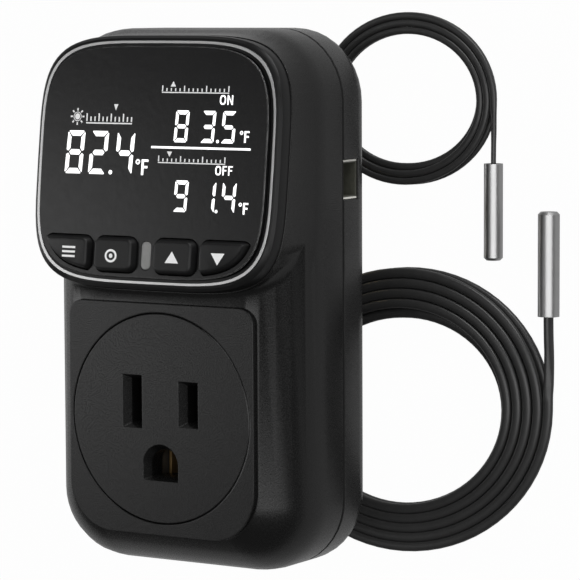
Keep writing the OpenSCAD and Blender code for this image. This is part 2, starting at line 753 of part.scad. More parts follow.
// Outlet: insert, carrier and contacts
slot_w = 2.2;
mouth_w = 4.5;
mouth_d = 1.6;
mouth_over = 0.8;
neutral_slot = 8.5;
line_slot = 7.1;
ground_half = 3;
ground_mouth_half = 4;
ground_flat = 2.35;
ground_mouth_flat = 2.97;
carrier_w = 24;
carrier_l = 26;
carrier_top = z_face - insert_t;
carrier_up = 4;
carrier_bottom = z_board_top + carrier_up;
carrier_drop = 5.2;
carrier_y = y_slots - carrier_drop;
carrier_corner_r = 2;
contact_t = 0.5;
contact_flare = 0.5;
contact_gap = 0.85;
contact_l = 7;
contact_clear = 3;
contact_up = 8;
contact_top = carrier_top - contact_clear;
contact_web = z_board_top + contact_up;
mouth_h = 1.5;
ground_contact_gap = 2.42;
ground_contact_l = 5.6;
pocket = 0.3;
ear_x = 14.6;
ear_y = carrier_y;
ear_r = 2.6;
ear_t = 2;
ear_drop = 8;
carrier_screw_r = 0.95;
carrier_screw_l = 6;
carrier_head_r = 1.9;
carrier_head_h = 1.2;

module ground_outline(half, flat_at) {
    intersection() {
        union() {
            circle(r = half, $fn = 64);
            translate([-half, -half]) square([2 * half, half]);
        }
        translate([-half - over, -flat_at]) square([2 * half + 2 * over, half + flat_at + over]);
    }
}
module insert_hole(mouth, through) {
    hull() {
        linear_extrude(slip) square(through, center = true);
        translate([0, 0, mouth_d]) linear_extrude(over) square(mouth, center = true);
    }
    translate([0, 0, -insert_t]) linear_extrude(insert_t + slip) square(through, center = true);
}
module outlet_insert() {
    color([0.08, 0.08, 0.085]) difference() {
        union() {
            translate([0, y_insert, z_face - insert_t]) rotate_extrude($fn = 96)
                polygon([[0, 0], [insert_r, 0],
                [insert_r, insert_t - insert_edge], [insert_r - insert_edge, insert_t], [0, insert_t]]);
            for (sx = [-1, 1]) translate([sx * ear_x, ear_y, carrier_top - ear_drop])
                cylinder(r = ear_r, h = ear_drop + slip, $fn = 32);
        }
        translate([-blade_pitch / 2, y_slots, z_face - mouth_d])
            insert_hole([mouth_w, neutral_slot + 2 * mouth_over], [slot_w, neutral_slot]);
        translate([blade_pitch / 2, y_slots, z_face - mouth_d])
            insert_hole([mouth_w, line_slot + 2 * mouth_over], [slot_w, line_slot]);
        translate([0, y_ground_hole, z_face - mouth_d]) {
            hull() {
                linear_extrude(slip) ground_outline(ground_half, ground_flat);
                translate([0, 0, mouth_d]) linear_extrude(over)
                    ground_outline(ground_mouth_half, ground_mouth_flat);
            }
            translate([0, 0, -insert_t]) linear_extrude(insert_t + slip)
                ground_outline(ground_half, ground_flat);
        }
        for (sx = [-1, 1]) translate([sx * ear_x, ear_y, carrier_top - ear_drop - over])
            cylinder(r = carrier_screw_r + slip / 2, h = ear_drop, $fn = 24);
    }
}
module contact_carrier() {
    depth = carrier_top - carrier_bottom;
    color([0.9, 0.88, 0.8]) difference() {
        union() {
            translate([0, carrier_y, carrier_bottom])
                plate(round_rect(carrier_w, carrier_l, carrier_corner_r), depth);
            for (sx = [-1, 1]) hull() {
                translate([sx * ear_x, ear_y, carrier_top - ear_drop - ear_t])
                    cylinder(r = ear_r, h = ear_t, $fn = 32);
                translate([sx * (carrier_w / 2 - over), ear_y, carrier_top - ear_drop - ear_t])
                    cylinder(r = ear_r, h = ear_t, $fn = 32);
            }
        }
        for (s = [[-1, neutral_slot], [1, line_slot]]) translate([s[0] * blade_pitch / 2, y_slots, 0])
            translate([0, 0, carrier_bottom - over]) linear_extrude(depth + 2 * over)
                square([2 * (contact_gap + contact_t + contact_flare + pocket), s[1] + 2 * pocket],
                    center = true);
        translate([0, y_ground_hole, carrier_bottom - over]) linear_extrude(depth + 2 * over)
            square([2 * (ground_contact_gap + contact_t + contact_flare + pocket),
                2 * ground_half + 2 * pocket], center = true);
        for (sx = [-1, 1]) translate([sx * ear_x, ear_y, carrier_bottom])
            cylinder(r = carrier_screw_r + slip, h = depth, $fn = 24);
        for (sx = [-1, 1]) translate([sx * ear_x, ear_y, carrier_top - ear_drop])
            cylinder(r = ear_r + slip, h = ear_drop + over, $fn = 32);
    }
}
module carrier_screws() {
    color("silver") for (sx = [-1, 1]) translate([sx * ear_x, ear_y, carrier_top - ear_drop - ear_t]) {
        translate([0, 0, -carrier_head_h]) cylinder(r = carrier_head_r, h = carrier_head_h, $fn = 32);
        translate([0, 0, -slip]) cylinder(r = carrier_screw_r, h = carrier_screw_l, $fn = 24);
    }
}
// A folded spring clip: a web, two legs with flared mouths and a tail down to the board
module contact(gap, length) {
    top = contact_top - contact_web;
    color([0.8, 0.62, 0.25]) translate([0, 0, contact_web]) {
        rotate([90, 0, 0]) linear_extrude(length, center = true) polygon([
            [-gap - contact_t, 0], [gap + contact_t, 0], [gap + contact_t, top - mouth_h],
            [gap + contact_t + contact_flare, top], [gap + contact_flare, top], [gap, top - mouth_h],
            [gap, contact_t],
            [-gap, contact_t], [-gap, top - mouth_h], [-gap - contact_flare, top],
            [-gap - contact_t - contact_flare, top],
            [-gap - contact_t, top - mouth_h]]);
        box([-tail_t / 2, -tail_w / 2, z_board - tail_over - contact_web],
            [tail_t / 2, tail_w / 2, contact_t / 2]);
    }
}
module neutral_contact() {
    translate([-blade_pitch / 2, y_slots, 0]) contact(contact_gap, contact_l + over);
}
module line_contact() {
    translate([blade_pitch / 2, y_slots, 0]) contact(contact_gap, contact_l);
}
module ground_contact() {
    translate([0, y_ground_hole, 0]) contact(ground_contact_gap, ground_contact_l);
}
strap_w = 5;
strap_t = 0.5;
module ground_strap() {
    color([0.8, 0.62, 0.25]) translate([0, 0, z_board_top]) difference() {
        box([-strap_w / 2, y_ground_hole - strap_w / 2, 0], [strap_w / 2, y_ground + strap_w / 2, strap_t]);
        for (y = [y_ground, y_ground_hole]) translate([0, y, -over]) linear_extrude(strap_t + 2 * over)
            square([tail_t + 2 * tail_gap, tail_w + 2 * tail_gap], center = true);
    }
}

// Plug
blade_taper = 1.6;
module blade(width) {
    z_shoulder = z_boss_top - shoulder_h;
    tip = z_back - blade_len;
    color([0.8, 0.7, 0.45]) {
        rotate([90, 0, 90]) linear_extrude(blade_t, center = true) polygon([
            [-width / 2, z_shoulder + slip], [-width / 2, tip + blade_taper],
            [-width / 2 + blade_taper / 2, tip],
            [width / 2 - blade_taper / 2, tip], [width / 2, tip + blade_taper],
            [width / 2, z_shoulder + slip]]);
        translate([0, 0, z_shoulder]) linear_extrude(shoulder_h)
            square([blade_t + 2 * shoulder_over, width + 2 * shoulder_over], center = true);
        box([-tail_t / 2, -tail_w / 2, z_shoulder], [tail_t / 2, tail_w / 2, z_board_top + tail_over]);
    }
}
module neutral_blade() {
    translate([-blade_pitch / 2, y_blades, 0]) blade(neutral_w);
}
module line_blade() {
    translate([blade_pitch / 2, y_blades, 0]) blade(line_w);
}
pin_tip_r = 1.2;
pin_nose = [[0.4, 0.9], [0, 2]];
pin_neck = 0.5;
pin_neck_out = 0.4;
module ground_pin() {
    z_shoulder = z_boss_top - shoulder_h;
    color([0.8, 0.7, 0.45]) translate([0, y_ground, 0]) {
        rotate_extrude($fn = 64) polygon([[0, 0], [pin_tip_r, 0],
            [ground_r - pin_nose[0].x, pin_nose[0].y], [ground_r, pin_nose[1].y],
            [ground_r, z_back - pin_neck_out],
            [ground_r - pin_neck, z_back - pin_neck_out], [ground_r - pin_neck, z_shoulder],
            [ground_r + shoulder_over, z_shoulder], [ground_r + shoulder_over, z_boss_top], [0, z_boss_top]]);
        box([-tail_t / 2, -tail_w / 2, z_shoulder], [tail_t / 2, tail_w / 2, z_board_top + tail_over]);
    }
}
module insulator_sheet() {
    color([0.75, 0.7, 0.6]) difference() {
        translate([0, plug_boss_y, z_sheet])
            plate(round_rect(plug_boss_w, plug_boss_l, plug_boss_r), sheet_t);
        translate([0, 0, -board_t / 2]) tail_holes(tail_gap);
    }
}

// Sensor header behind the opening in the right side
header_sink = 0.4;
header_x = case_w / 2 - header_sink;
header_back = 1.6;
pin_t = 0.64;
pin_pitch = 2.5;
pin_tip = 4;
pin_back = 0.9;
module sensor_header() {
    z0 = z_board_top;
    color([0.92, 0.9, 0.84]) difference() {
        box([header_x - header_l, y_port - header_w / 2, z0],
            [header_x, y_port + header_w / 2, z_header_top]);
        box([header_x - header_l + header_back, y_port - header_w / 2 + header_wall, z0 + header_floor],
            [header_x + over, y_port + header_w / 2 - header_wall, z_header_top - header_floor]);
        for (s = [-1, 1]) box([header_x - header_l - over, y_port + s * pin_pitch / 2 - pin_t / 2 - slip / 2,
            (z0 + z_header_top) / 2 - pin_t / 2 - slip / 2], [header_x - header_l + header_back + slip,
            y_port + s * pin_pitch / 2 + pin_t / 2 + slip / 2,
            (z0 + z_header_top) / 2 + pin_t / 2 + slip / 2]);
    }
}
module sensor_pins() {
    z_mid = (z_board_top + z_header_top) / 2;
    back = header_x - header_l - pin_back;
    color("silver") for (s = [-1, 1]) translate([0, y_port + s * pin_pitch / 2, 0]) {
        box([back, -pin_t / 2, z_mid - pin_t / 2], [header_x - pin_tip, pin_t / 2, z_mid + pin_t / 2]);
        box([back, -pin_t / 2, z_board_top], [back + pin_t, pin_t / 2, z_mid]);
    }
}

// Tubes
function unit(v) = v / norm(v);
function tangent(p, i) = unit(p[min(i + 1, len(p) - 1)] - p[max(i - 1, 0)]);
function tube_ring(c, t, r, n) =
    let (side = unit(cross([0, 0, 1], t)), up = cross(t, side))
    [for (k = [0:n - 1]) let (a = 360 * (k + 0.5) / n) c + r * (cos(a) * side + sin(a) * up)];
module tube(path, d, n) {
    m = len(path);
    points = [for (i = [0:m - 1]) each tube_ring(path[i], tangent(path, i), d / 2, n)];
    sides = [for (i = [0:m - 2]) for (k = [0:n - 1]) let (a = i * n + k, b = i * n + (k + 1) % n)
        each [[a, a + n, b], [b, a + n, b + n]]];
    ends = [for (k = [1:n - 2]) each [[0, k, k + 1],
        [(m - 1) * n, (m - 1) * n + k + 1, (m - 1) * n + k]]];
    polyhedron(points, concat(sides, ends));
}

// A coil starts at its outer left, winds in on the lower layer, climbs in a half turn and winds out above.
// turn is 1 where it runs anticlockwise, seen from above, and -1 where it runs clockwise.
loop_rings = 24;
cable_clear = 0.43;
short_pitch = [1.48, short_d + cable_clear];
long_pitch = [2.09, 1.935];
short_drift = [0, 0];
long_drift = [-0.14, -0.07];
short_at = [25.5, 36.9];
long_at = [25.33, -23.6];
short_r = [19.5, 16.9];
long_r = [32.1, 28.1];
short_tilt = 3;
long_tilt = 10.5;
short_turns = 2.5;
long_turns = 4.5;
function coil_inset(t, turns) = t < turns ? t : t > turns + 0.5 ? 2 * turns + 0.5 - t
    : turns + 0.25 - abs(t - turns - 0.25);
function coil_level(t, turns) = let (u = max(0, min(1, 2 * (t - turns)))) u * u * (3 - 2 * u);
// The coil's ends point straight up or down the front, where the tilted oval is widest
function coil_point(t, at, radii, tilt, drift, d, pitch, turns, turn) =
    let (start = atan(-radii.y / radii.x * tan(tilt)), a = 180 + start + turn * 360 * t,
        inset = coil_inset(t, turns), r = radii - inset * pitch, p = [r.x * cos(a), r.y * sin(a)])
    [at.x + inset * drift.x + p.x * cos(tilt) - p.y * sin(tilt),
        at.y + inset * drift.y + p.x * sin(tilt) + p.y * cos(tilt),
        d / 2 + (d + cable_clear) * coil_level(t, turns)];
function coil_path(at, radii, tilt, drift, d, pitch, turns, turn) =
    let (n = (2 * turns + 0.5) * loop_rings,
        body = [for (i = [0:n]) coil_point(i / loop_rings, at, radii, tilt, drift, d, pitch, turns, turn)])
    concat([body[0] + [0, turn * d, 0]], body, [body[n] + [0, turn * d, 0]]);
short_path = coil_path(short_at, short_r, short_tilt, short_drift, short_d, short_pitch, short_turns, -1);
long_path = coil_path(long_at, long_r, long_tilt, long_drift, long_d, long_pitch, long_turns, 1);

// Least gap of a coil to itself, measured between points more than half a loop apart
function path_gap(path, d) = min([for (i = [0:len(path) - 1]) for (j = [i + loop_rings / 2:1:len(path) - 1])
    segment_gap(path[i], path, j)]) - d;
function segment_gap(a, path, j) = let (b = path[j], c = path[min(j + 1, len(path) - 1)], s = c - b,
    l = s * s, u = l > 0 ? max(0, min(1, (a - b) * s / l)) : 0) norm(a - b - u * s);
function path_length(path) = let (steps = [for (i = [1:len(path) - 1]) norm(path[i] - path[i - 1])])
    steps * [for (s = steps) 1];

short_end = short_path[len(short_path) - 1];
long_end = long_path[len(long_path) - 1];
short_start = short_path[0];
long_start = long_path[0];

// Routes of the free stretches, chosen by hand
short_tail_mids = [[45, 33.6, 1.85], [45, 31, 1.75], [45, 28.5, 1.8]];
short_probe_mouth = [45, 25];
long_tail_mids = [[57.3, -20, 2.4], [57.27, -17, 2.2], [57.22, -14, 2], [57.17, -11, 1.9], [57.13, -8.5, 2]];
long_probe_mouth = [57.12, -4];
short_lead_mids = [[-9, 26, 1.7], [-7, 26.1, 1.1], [-4.5, 26.3, 0.6], [-2.2, 26.7, 0.5], [0, 27.5, 0.5],
    [2, 28.7, 0.5], [3.8, 30.2, 0.5], [5.1, 31.9, 0.5], [5.8, 33.6, 0.5]];
long_lead_mids = [[-10.9, -6.5, 1.6], [-10.6, -9, 1.1], [-10.1, -11.5, 0.8], [-9.3, -13.8, 0.72],
    [-8.4, -16.1, 0.72], [-7.5, -18.5, 0.72], [-6.9, -20.7, 0.72]];
plug_size = [5.8, 4.1, 9.8];
short_plug = [-22, 26];
long_plug = [-11, 7];
probe_wall = 0.3;
probe_nose = 0.5;
seal_l = 2.5;
crimp_r = 0.9;
crimp_t = 0.3;
plug_rib = 0.5;
plug_floor = 2;
terminal_in = 0.6;

// A free stretch runs straight for one diameter at both ends
function stretch(from, leaving, mids, to, arriving, d) =
    concat([from, from + leaving * d], mids, [to - arriving * d, to]);
ahead = [0, 1, 0];
short_tail_path = stretch(short_end, -ahead, short_tail_mids,
    [short_probe_mouth.x, short_probe_mouth.y, short_probe_d / 2], -ahead, short_d);
long_tail_path = stretch(long_end, ahead, long_tail_mids,
    [long_probe_mouth.x, long_probe_mouth.y, long_probe_d / 2], ahead, long_d);
short_lead_path = stretch([short_plug.x + plug_size.z, short_plug.y, plug_size.y / 2], [1, 0, 0],
    short_lead_mids, short_start, ahead, short_d);
long_lead_path = stretch([long_plug.x, long_plug.y - plug_size.z, plug_size.y / 2], -ahead,
    long_lead_mids, long_start, -ahead, long_d);

echo(short_gap = path_gap(short_path, short_d), long_gap = path_gap(long_path, long_d));
echo(short_length = path_length(short_path) + path_length(short_tail_path) + path_length(short_lead_path),
    long_length = path_length(long_path) + path_length(long_tail_path) + path_length(long_lead_path));

module short_coil() { color([0.12, 0.12, 0.12]) tube(short_path, short_d, 6); }
module long_coil() { color([0.12, 0.12, 0.12]) tube(long_path, long_d, 6); }
module short_tail() { color([0.12, 0.12, 0.12]) tube(short_tail_path, short_d, 8); }
module long_tail() { color([0.12, 0.12, 0.12]) tube(long_tail_path, long_d, 8); }
module short_lead() { color([0.12, 0.12, 0.12]) tube(short_lead_path, short_d, 8); }
module long_lead() { color([0.12, 0.12, 0.12]) tube(long_lead_path, long_d, 8); }

// A closed steel sleeve, mouth at the origin, running along +Z
module probe(d, l) {
    r = d / 2;
    bore_l = l - 2 * probe_nose;
    color("silver") rotate_extrude($fn = 64)
        polygon([[0, l], [r - probe_nose, l], [r, l - probe_nose], [r, 0],
        [r - probe_wall, 0], [r - probe_wall, bore_l], [0, bore_l]]);
}
module seal(d) {
    color([0.08, 0.08, 0.08]) cylinder(r = d / 2 - probe_wall, h = seal_l, $fn = 48);
}
module short_at_probe() {
    translate([short_probe_mouth.x, short_probe_mouth.y, short_probe_d / 2]) rotate([90, 0, 0]) children();
}
module long_at_probe() {
    translate([long_probe_mouth.x, long_probe_mouth.y, long_probe_d / 2]) rotate([-90, 0, 0]) children();
}
module short_probe() { short_at_probe() probe(short_probe_d, short_probe_l); }
module long_probe() { long_at_probe() probe(long_probe_d, long_probe_l); }
module short_seal() { short_at_probe() seal(short_probe_d); }
module long_seal() { long_at_probe() seal(long_probe_d); }

// The lead's plug: mouth at the origin, running along +Z, flat side down
module plug_body() {
    color([0.92, 0.9, 0.84]) difference() {
        union() {
            translate([-plug_size.x / 2, 0, 0]) cube(plug_size);
            for (s = [-1, 1]) box([s * pin_pitch / 2 - plug_rib, plug_size.y - slip, 0],
                [s * pin_pitch / 2 + plug_rib, plug_size.y + plug_rib, plug_size.z / 2]);
        }
        for (s = [-1, 1]) translate([s * pin_pitch / 2, plug_size.y / 2, -over])
            cylinder(r = crimp_r + slip / 2, h = plug_size.z - plug_floor + over, $fn = 32);
    }
}
module plug_terminals() {
    color("silver") for (s = [-1, 1]) translate([s * pin_pitch / 2, plug_size.y / 2, terminal_in])
        difference() {
        cylinder(r = crimp_r, h = plug_size.z - plug_floor - terminal_in, $fn = 32);
        translate([0, 0, -over]) cylinder(r = crimp_r - crimp_t, h = plug_size.z - plug_floor - over,
            $fn = 32);
    }
}
module short_at_plug() {
    translate([short_plug.x, short_plug.y, 0]) rotate([90, 0, 90]) children();
}
module long_at_plug() {
    translate([long_plug.x, long_plug.y, 0]) rotate([90, 0, 0]) children();
}
module short_connector() { short_at_plug() plug_body(); }
module short_terminals() { short_at_plug() plug_terminals(); }
module long_connector() { long_at_plug() plug_body(); }
module long_terminals() { long_at_plug() plug_terminals(); }

front_shell();
rear_cover();
case_screws();
display_bezel();
trim_ring();
display_lens();
light_pipe();
outlet_insert();
set_key();
function_key();
up_key();
down_key();
set_plunger();
function_plunger();
up_plunger();
down_plunger();
switch_bases();
display_panel();
display_frame();
display_board();
status_led();
controller_chip();
display_screws();
display_cable();
main_board();
board_screws();
relay();
transformer();
supply_capacitor();
filter_capacitor();
fuse();
varistor();
contact_carrier();
carrier_screws();
neutral_contact();
line_contact();
ground_contact();
ground_strap();
neutral_blade();
line_blade();
ground_pin();
insulator_sheet();
sensor_header();
sensor_pins();
short_probe();
short_seal();
short_tail();
short_coil();
short_lead();
short_connector();
short_terminals();
long_probe();
long_seal();
long_tail();
long_coil();
long_lead();
long_connector();
long_terminals();
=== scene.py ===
"""The plug in temperature controller as it looks.

Finishes for the CAD pieces, the display's figures, the marks on the keys, both sensor
cables, and the floor, lamps and camera that show them.
"""

import json
import math

import bpy
from mathutils import Matrix, Vector

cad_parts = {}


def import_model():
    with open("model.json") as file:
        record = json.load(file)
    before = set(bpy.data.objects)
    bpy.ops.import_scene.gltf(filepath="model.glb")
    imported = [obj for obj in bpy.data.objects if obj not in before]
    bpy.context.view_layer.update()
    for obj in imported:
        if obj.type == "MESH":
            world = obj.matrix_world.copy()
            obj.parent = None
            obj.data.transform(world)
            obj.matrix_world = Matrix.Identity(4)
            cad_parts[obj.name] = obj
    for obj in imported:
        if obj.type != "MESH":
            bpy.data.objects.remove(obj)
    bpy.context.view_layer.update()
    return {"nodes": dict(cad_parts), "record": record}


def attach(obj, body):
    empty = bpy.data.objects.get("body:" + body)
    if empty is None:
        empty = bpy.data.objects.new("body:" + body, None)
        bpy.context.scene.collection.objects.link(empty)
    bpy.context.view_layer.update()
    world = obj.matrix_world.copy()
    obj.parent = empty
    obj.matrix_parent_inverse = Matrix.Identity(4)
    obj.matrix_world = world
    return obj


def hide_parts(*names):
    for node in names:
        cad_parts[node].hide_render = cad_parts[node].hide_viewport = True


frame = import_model()
nodes = frame["nodes"]
MM = 0.001


class Mask:
    """A number that varies over a surface. Arithmetic on it adds Math nodes."""

    def __init__(self, owner, socket):
        self.owner, self.socket = owner, socket

    def _math(self, operation, *values):
        node = self.owner.node("ShaderNodeMath", {"operation": operation}, *values)
        return Mask(self.owner, node.outputs[0])

    def __add__(self, other):
        return self._math("ADD", self, other)

    def __sub__(self, other):
        return self._math("SUBTRACT", self, other)

    def __rsub__(self, other):
        return self._math("SUBTRACT", other, self)

    def __mul__(self, other):
        return self._math("MULTIPLY", self, other)

    __radd__, __rmul__ = __add__, __mul__

    def size(self):
        return self._math("ABSOLUTE", self)

    def spread(self, low, high, out_low=0.0, out_high=1.0):
        """Runs from out_low to out_high as this runs from low to high, and stays within them."""
        node = self.owner.node("ShaderNodeMapRange", {"interpolation_type": "SMOOTHSTEP"},
                               self, low, high, out_low, out_high)
        return Mask(self.owner, node.outputs[0])


class Shading:
    """The nodes of a material or of the world."""

    def __init__(self, owner):
        owner.use_nodes = True
        self.tree = owner.node_tree

    def node(self, kind, settings, *values, **named):
        node = self.tree.nodes.new(kind)
        for key, value in settings.items():
            setattr(node, key, value)
        for place, value in [*enumerate(values), *named.items()]:
            socket = node.inputs[place if isinstance(place, int) else place.replace("_", " ")]
            if value is not None:
                self.join(value, socket)
        return node

    def join(self, value, socket):
        if isinstance(value, Mask):
            value = value.socket
        if isinstance(value, bpy.types.NodeSocket):
            self.tree.links.new(value, socket)
        else:
            socket.default_value = value


class Finish(Shading):
    """One material, on one Principled shader."""

    def __init__(self, name, colour, roughness, **plain):
        self.material = bpy.data.materials.new(name)
        super().__init__(self.material)
        self.shader = self.tree.nodes["Principled BSDF"]
        self.set("Base Color", (*colour, 1))
        self.set("Roughness", roughness)
        for socket, value in plain.items():
            self.set(socket.replace("_", " "), value)

    def set(self, socket, value):
        self.join(value, self.shader.inputs[socket])

    def place(self, stretch=(1, 1, 1)):
        """The object's own coordinates in millimetres, each axis stretched."""
        point = self.node("ShaderNodeTexCoord", {}).outputs["Object"]
        scale = tuple(s / MM for s in stretch)
        return self.node("ShaderNodeMapping", {}, Vector=point, Scale=scale).outputs[0]

    def along(self, *axes):
        """The object's own coordinates along those axes, in millimetres."""
        parts = self.node("ShaderNodeSeparateXYZ", {}, Vector=self.place())
        return [Mask(self, parts.outputs[axis]) for axis in axes]

    def noise(self, per_mm, detail=2.0, rough=0.5, stretch=(1, 1, 1)):
        node = self.node("ShaderNodeTexNoise", {}, Vector=self.place(stretch), Scale=per_mm,
                         Detail=detail, Roughness=rough)
        return Mask(self, node.outputs["Fac"])

    def cells(self, per_mm, stretch=(1, 1, 1)):
        node = self.node("ShaderNodeTexVoronoi", {}, Vector=self.place(stretch), Scale=per_mm)
        return Mask(self, node.outputs["Distance"])

    def blend(self, amount, one, other):
        """From one colour to the other. Either is a plain colour or one that already varies."""
        node = self.node("ShaderNodeMix", {"data_type": "RGBA"})
        factor, first, second = (node.inputs[i] for i in (0, 6, 7))
        self.join(amount, factor)
        for colour, socket in ((one, first), (other, second)):
            self.join((*colour, 1) if isinstance(colour, tuple) else colour, socket)
        return node.outputs[2]

    def relief(self, height, depth_mm, edge_mm=0.0):
        """Bumps of that depth, over edges that look rounded to edge_mm."""
        bump = self.node("ShaderNodeBump", {}, Strength=1.0, Distance=depth_mm * MM, Height=height)
        if edge_mm:
            round_edge = self.node("ShaderNodeBevel", {"samples": 6}, Radius=edge_mm * MM)
            self.join(round_edge.outputs[0], bump.inputs["Normal"])
        self.set("Normal", bump.outputs[0])
        return self


def grey(shade):
    return (shade,) * 3


def times(colour, factor):
    return tuple(c * factor for c in colour)


# The case's seam and the sensor header as the CAD has them, in millimetres. A pair is where a
# change of colour begins and ends: the painted shade in the seam, the painted highlight on the
# header.
SEAM_Z = 31.2
SEAM_SHADE_FADE = (0.28, 0.42)
PORT_Y = 22.925
PORT_WALL_LIGHT_FADE = (3.28, 3.4)
PORT_MOUTH_LIGHT_FADE = (27.6, 28.2)


def textured_plastic(name, shade, grain=5.0, depth=0.012, edge=0.35, gloss=0.27):
    """Moulded black plastic with a fine spark-eroded grain, and painted shade in the case's seam,
    where it is also dull.
    """
    finish = Finish(name, grey(shade), gloss, Specular_IOR_Level=0.36)
    fine = finish.noise(grain, 2.0, 0.6)
    coarse = finish.noise(grain * 0.28, 2.0)
    handled = finish.noise(0.05, 3.0)
    pits = fine.spread(0.4, 0.75)
    height, = finish.along("Z")
    # Painted shade: the colour goes to black in the case's seam, where the surface is also made
    # dull.
    seam = (height - SEAM_Z).size().spread(*SEAM_SHADE_FADE, 1.0, 0.0)
    plain = finish.blend(pits * 0.7 + handled * 0.3, grey(shade * 0.75), grey(shade * 1.5))
    finish.set("Base Color", finish.blend(seam, plain, grey(0)))
    finish.set("Roughness", pits * 0.18 + handled * 0.1 + seam * 0.7 + (gloss - 0.1))
    return finish.relief(fine + coarse * 0.4, depth, edge)


def smooth_plastic(name, colour, gloss, speckle=0.15, edge=0.12, shine=0.5):
    """Moulded plastic with an even, slightly wavy surface and a little dust."""
    finish = Finish(name, colour, gloss, Specular_IOR_Level=shine)
    wave = finish.noise(0.7, 3.0)
    dust = finish.noise(9.0, 1.0).spread(0.62, 0.75)
    lighter = tuple(min(1, c) for c in times(colour, 1 + speckle))
    finish.set("Base Color", finish.blend(wave, times(colour, 1 - speckle), lighter))
    finish.set("Roughness", wave * 0.08 + dust * 0.1 + (gloss - 0.04))
    return finish.relief(wave, 0.01, edge)


def drawn_metal(name, colour, gloss, stretch=(1, 1, 1), grain=6.0, depth=0.004, edge=0.15):
    """Metal with the fine lines that drawing or rolling leaves, and a faint stain."""
    finish = Finish(name, colour, gloss, Metallic=1.0)
    lines = finish.noise(grain, 3.0, 0.6, stretch)
    stain = finish.noise(0.5, 3.0)
    finish.set("Base Color", finish.blend(stain * 0.7 + lines * 0.3, times(colour, 0.82), colour))
    finish.set("Roughness", lines * 0.14 + stain * 0.08 + (gloss - 0.08))
    return finish.relief(lines, depth, edge)


def solder_mask(name, colour):
    """Circuit board: copper tracks just showing under a green mask."""
    finish = Finish(name, colour, 0.35, Coat_Weight=0.4)
    tracks = finish.cells(0.45, (1, 0.5, 1)).spread(0.25, 0.4)
    finish.set("Base Color", finish.blend(tracks, colour, times(colour, 1.8)))
    return finish.relief(tracks, 0.03)


def header_nylon(name, dark, pale):
    """Translucent nylon with painted light: painted shade dims it inside its box, and a painted
    highlight makes it pale where its end walls meet the light.
    """
    finish = Finish(name, dark, 0.4)
    x, y = finish.along("X", "Y")
    lit_end_wall = (y - PORT_Y).size().spread(*PORT_WALL_LIGHT_FADE)
    mouth = x.spread(*PORT_MOUTH_LIGHT_FADE)
    cloud = finish.noise(0.8, 2.0)
    shaded = finish.blend(cloud, times(dark, 0.7), times(dark, 1.5))
    # Painted highlight on the end walls near the mouth, over the painted shade of the rest.
    finish.set("Base Color", finish.blend(lit_end_wall * mouth, shaded, pale))
    finish.set("Roughness", cloud * 0.15 + 0.32)
    return finish.relief(cloud, 0.01, 0.08)


# How far the lines in a metal are drawn out along each axis
ROLLED = (1, 1, 0.1)
DRAWN = (1, 0.06, 1)
LENS_BLACK = (0.006, 0.006, 0.0062)
slot_finish = {
    "case_plastic": textured_plastic("case_black", 0.005, depth=0.018),
    "insert_plastic": textured_plastic("insert_black", 0.005, 5.5, 0.01, 0.2),
    "bezel_plastic": smooth_plastic("bezel_black", LENS_BLACK, 0.34, shine=0.25),
    "trim_metal": drawn_metal("trim_bright", grey(0.62), 0.3, edge=0.1),
    "lens": smooth_plastic("smoked_lens", LENS_BLACK, 0.2, 0.02, 0.15, 0.32),
    "key_rubber": smooth_plastic("key_black", (0.007, 0.007, 0.0073), 0.42, edge=0.5, shine=0.3),
    "clear_pipe": smooth_plastic("frosted_clear", (0.2, 0.2, 0.195), 0.22, edge=0.45),
    "steel": drawn_metal("zinc_steel", (0.55, 0.56, 0.58), 0.35),
    "probe_steel": drawn_metal("probe_steel", grey(0.45), 0.33, DRAWN, 5.0, 0.002),
    # The contacts' brass is painted dark as the shade inside the outlet's slots.
    "brass": drawn_metal("spring_brass_painted_shade", (0.3, 0.2, 0.09), 0.5, ROLLED),
    "blade_metal": drawn_metal("plug_brass", (0.74, 0.6, 0.34), 0.28, ROLLED),
    "board": solder_mask("board_green", (0.02, 0.11, 0.04)),
    "black_part": smooth_plastic("moulded_black", (0.015, 0.015, 0.016), 0.5),
    "blue_part": smooth_plastic("moulded_blue", (0.03, 0.09, 0.36), 0.4),
    "yellow_part": smooth_plastic("wound_yellow", (0.62, 0.42, 0.05), 0.45),
    "white_plastic": smooth_plastic("natural_white", (0.72, 0.71, 0.66), 0.4, 0.05),
    "glass_panel": smooth_plastic("panel_glass", (0.03, 0.035, 0.035), 0.15, 0.05),
    "sheet": smooth_plastic("fibre_sheet", (0.5, 0.44, 0.33), 0.7),
    "cable": smooth_plastic("cable_black", grey(0.022), 0.36, edge=0),
    "seal": smooth_plastic("potting_black", grey(0.012), 0.4, edge=0),
}
node_finish = {
    # The rear cover is the case's plastic painted lighter, standing for the light on it.
    "rear_cover": textured_plastic("cover_black_painted_lit", 0.016, depth=0.018),
    # The contact carrier is painted dark as the shade inside the outlet's holes.
    "contact_carrier": smooth_plastic("carrier_nylon_painted_shade", (0.035, 0.034, 0.032), 0.5),
    # The header is painted dark as the shade inside its box, with a painted highlight on its end
    # walls.
    "sensor_header": header_nylon("header_nylon", (0.05, 0.05, 0.04), (0.8, 0.79, 0.74)),
}
# Pale grey for the lens's edge: a painted highlight.
edge_highlight_grey = smooth_plastic("edge_highlight_grey", grey(0.3), 0.25, edge=0)
white_print = Finish("white_print", grey(0.85), 0.4)
lit_white = Finish("lit_white", grey(0.8), 0.4,
                   Emission_Color=(1, 1, 1, 1), Emission_Strength=0.9)
slots = {part["node"]: part["material_slot"] for part in frame["record"]["subparts"]}
CRISP_FROM = math.radians(28)
WELD_WITHIN = 0.002 * MM


